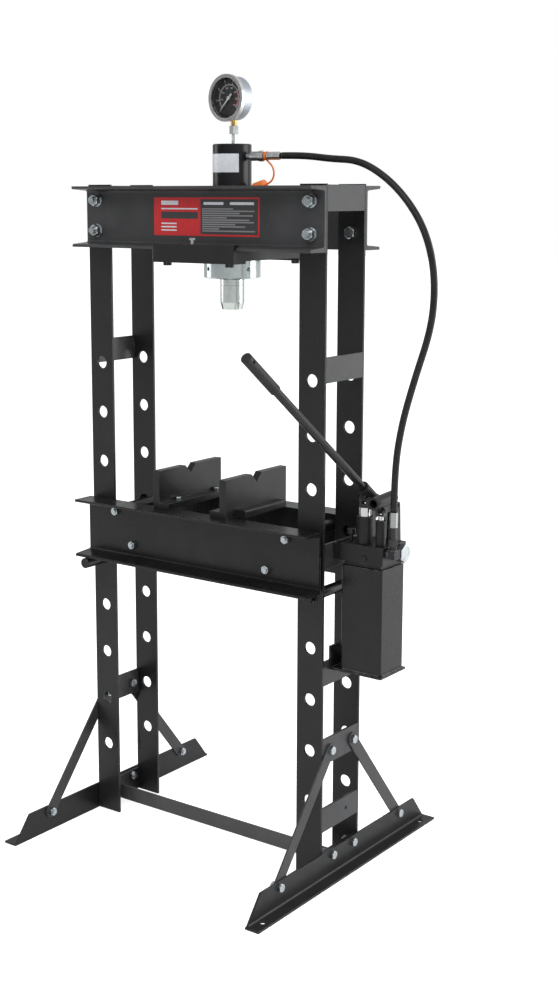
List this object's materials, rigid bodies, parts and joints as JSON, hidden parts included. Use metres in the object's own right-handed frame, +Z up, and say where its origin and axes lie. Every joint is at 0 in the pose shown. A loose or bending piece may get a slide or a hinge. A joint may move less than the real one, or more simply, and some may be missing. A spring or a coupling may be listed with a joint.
{
  "type": "hydraulic shop press",
  "caption": "H-frame hydraulic shop press with a sliding cylinder head, pressure gauge, two-stage hand pump, pinned bed and V-blocks.",
  "frame": {"origin": "centre of the four floor anchor holes, on the floor", "axes": "+Z up, +X towards the pump on the right, +Y towards the back; the front faces -Y"},
  "size_m": [0.9539, 0.8318, 1.801],
  "materials": {
    "frame_paint": "satin black enamel with light orange peel",
    "bed_paint": "glossier black enamel",
    "pump_paint": "satin black enamel on cast and folded steel",
    "zinc": "bright zinc plate",
    "dark_steel": "black oxide steel",
    "bare_steel": "ground steel, oiled",
    "chrome": "hard chrome",
    "brass": "turned brass",
    "hose_rubber": "smooth black rubber cover",
    "grip_rubber": "matt black rubber",
    "seal_rubber": "oiled seal rubber",
    "orange_plastic": "soft orange plastic",
    "black_plastic": "moulded black plastic",
    "dial": "printed black dial",
    "white_metal": "white lacquer",
    "glass": "clear flat glass",
    "case_metal": "silver gauge case",
    "spring_steel": "oiled spring wire"
  },
  "bodies": {
    "frame": {"post_front_left": "frame_paint", "post_front_right": "frame_paint", "post_rear_left": "frame_paint", "post_rear_right": "frame_paint", "side_plates": "frame_paint", "brace_plates": "frame_paint", "foot_plates": "frame_paint", "head_channel_front": "frame_paint", "head_channel_rear": "frame_paint", "head_bolts": "zinc", "head_nuts": "zinc", "foot_left": "frame_paint", "foot_right": "frame_paint", "braces": "frame_paint", "frame_bolts": "zinc", "frame_nuts": "zinc", "floor_tie_bar": "frame_paint", "pump_brackets": "pump_paint", "pump_tank": "pump_paint", "pump_block": "pump_paint", "pump_barrels": "pump_paint", "pump_fitting": "dark_steel", "filler_cap": "black_plastic", "hose": "hose_rubber", "hose_end_bottom": "dark_steel"},
    "bed": {"bed_channel_front": "bed_paint", "bed_channel_rear": "bed_paint", "bed_spacers": "bed_paint", "bed_bolts": "zinc", "bed_nuts": "zinc", "v_block_left": "frame_paint", "v_block_right": "frame_paint"},
    "left_bed_pin": {"pin_left": "bed_paint"},
    "right_bed_pin": {"pin_right": "bed_paint"},
    "work_head": {"carriage_plate": "frame_paint", "carriage_rails": "frame_paint", "carriage_bolts": "dark_steel", "clamp_screw": "zinc", "cylinder": "frame_paint", "ring_nut": "zinc", "gauge_adapter": "zinc", "gauge_socket": "brass", "gauge_case": "case_metal", "gauge_bezel": "chrome", "gauge_dial": "dial", "gauge_lens": "glass", "coupler": "zinc", "dust_cap": "orange_plastic", "hose_end_top": "zinc", "return_spring": "spring_steel"},
    "ram_body": {"ram": "bare_steel", "piston_seal": "seal_rubber"},
    "needle": {"gauge_needle": "white_metal"},
    "fast_handle": {"fast_lever": "pump_paint", "handle_tube": "pump_paint", "handle_grip": "grip_rubber"},
    "fast_piston": {"fast_plunger": "chrome"},
    "slow_handle": {"slow_lever": "pump_paint"},
    "slow_piston": {"slow_plunger": "chrome"},
    "valve_knob": {"release_knob": "zinc"}
  },
  "joints": [
    {"name": "carriage_slide", "type": "slide", "parent": "frame", "child": "work_head", "axis": [1, 0, 0], "range_m": [-0.184, 0.124], "deforming": ["hose"]},
    {"name": "ram_slide", "type": "slide", "parent": "work_head", "child": "ram_body", "axis": [0, 0, -1], "range_m": [0, 0.15], "stiffness_N_per_m": 1000, "springref_m": -0.08, "deforming": ["return_spring"]},
    {"name": "bed_lift", "type": "slide", "parent": "frame", "child": "bed", "axis": [0, 0, 1], "range_m": [0, 0.2]},
    {"name": "left_pin_slide", "type": "slide", "parent": "frame", "child": "left_bed_pin", "axis": [0, -1, 0], "range_m": [0, 0.226]},
    {"name": "right_pin_slide", "type": "slide", "parent": "frame", "child": "right_bed_pin", "axis": [0, -1, 0], "range_m": [0, 0.286]},
    {"name": "needle_turn", "type": "hinge", "parent": "work_head", "child": "needle", "pos_m": [0.038, -0.004, 1.749], "axis": [0.1045, 0.9945, 0], "range_deg": [0, 270]},
    {"name": "fast_lever_swing", "type": "hinge", "parent": "frame", "child": "fast_handle", "pos_m": [0.41, 0.036, 0.872], "axis": [1, 0, 0], "range_deg": [0, 19]},
    {"name": "fast_plunger_slide", "type": "slide", "parent": "frame", "child": "fast_piston", "axis": [0, 0, -1], "range_m": [0, 0.0196]},
    {"name": "slow_lever_swing", "type": "hinge", "parent": "frame", "child": "slow_handle", "pos_m": [0.451, 0.032, 0.866], "axis": [1, 0, 0], "range_deg": [-10, 10]},
    {"name": "slow_plunger_slide", "type": "slide", "parent": "frame", "child": "slow_piston", "axis": [0, 0, -1], "range_m": [-0.0097, 0.0097]},
    {"name": "release_knob_turn", "type": "hinge", "parent": "frame", "child": "valve_knob", "pos_m": [0.474, 0.024, 0.763], "axis": [1, 0, 0], "range_deg": [0, 360]}
  ],
  "couplings": [
    {"joint": "fast_plunger_slide", "follows": "fast_lever_swing", "m_per_rad": 0.0585},
    {"joint": "slow_plunger_slide", "follows": "slow_lever_swing", "m_per_rad": 0.0547}
  ]
}
